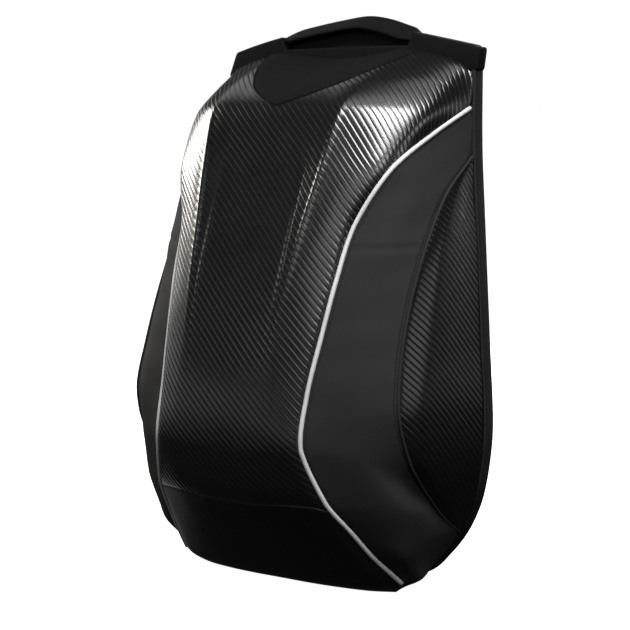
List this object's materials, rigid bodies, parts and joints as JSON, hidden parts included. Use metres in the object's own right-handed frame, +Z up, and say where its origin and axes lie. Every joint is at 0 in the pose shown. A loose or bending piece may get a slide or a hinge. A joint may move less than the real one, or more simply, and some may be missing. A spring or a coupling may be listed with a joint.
{
  "type": "motorcycle backpack",
  "caption": "Hard-shell motorcycle backpack with a moulded woven-look front, smooth side panels with light piping, a carry handle and padded shoulder straps.",
  "frame": {"origin": "on the floor plane, in the middle of the flat base under the bag", "axes": "+Z up, front of the bag towards -Y, back and straps towards +Y, +X to the right seen from the front"},
  "size_m": [0.3306, 0.2382, 0.5155],
  "materials": {
    "shell_weave": "glossy black sheet with a raised diagonal weave",
    "side_weave": "glossy black sheet with a raised diagonal weave",
    "side_fabric": "matt dark grey fine weave",
    "patch_fabric": "matt black fine weave",
    "tape": "ribbed black tape",
    "piping": "light grey reflective cord",
    "back_fabric": "black mesh over foam",
    "strap_fabric": "black mesh over foam",
    "webbing": "ribbed black webbing",
    "plastic": "black moulded plastic"
  },
  "bodies": {
    "root": {"front_shell": "shell_weave", "base_panel": "side_fabric", "top_patch": "patch_fabric", "piping_right": "piping", "piping_left": "piping", "side_panel_right": "side_fabric", "side_panel_left": "side_fabric", "rear_side_panel_right": "side_weave", "rear_side_panel_left": "side_weave", "edge_binding": "tape", "carry_handle": "tape", "back_panel": "back_fabric", "back_pad": "back_fabric", "shoulder_strap_right": "strap_fabric", "shoulder_strap_left": "strap_fabric", "strap_webbing_right": "webbing", "strap_webbing_left": "webbing", "strap_buckle_right": "plastic", "strap_buckle_left": "plastic"}
  },
  "joints": []
}
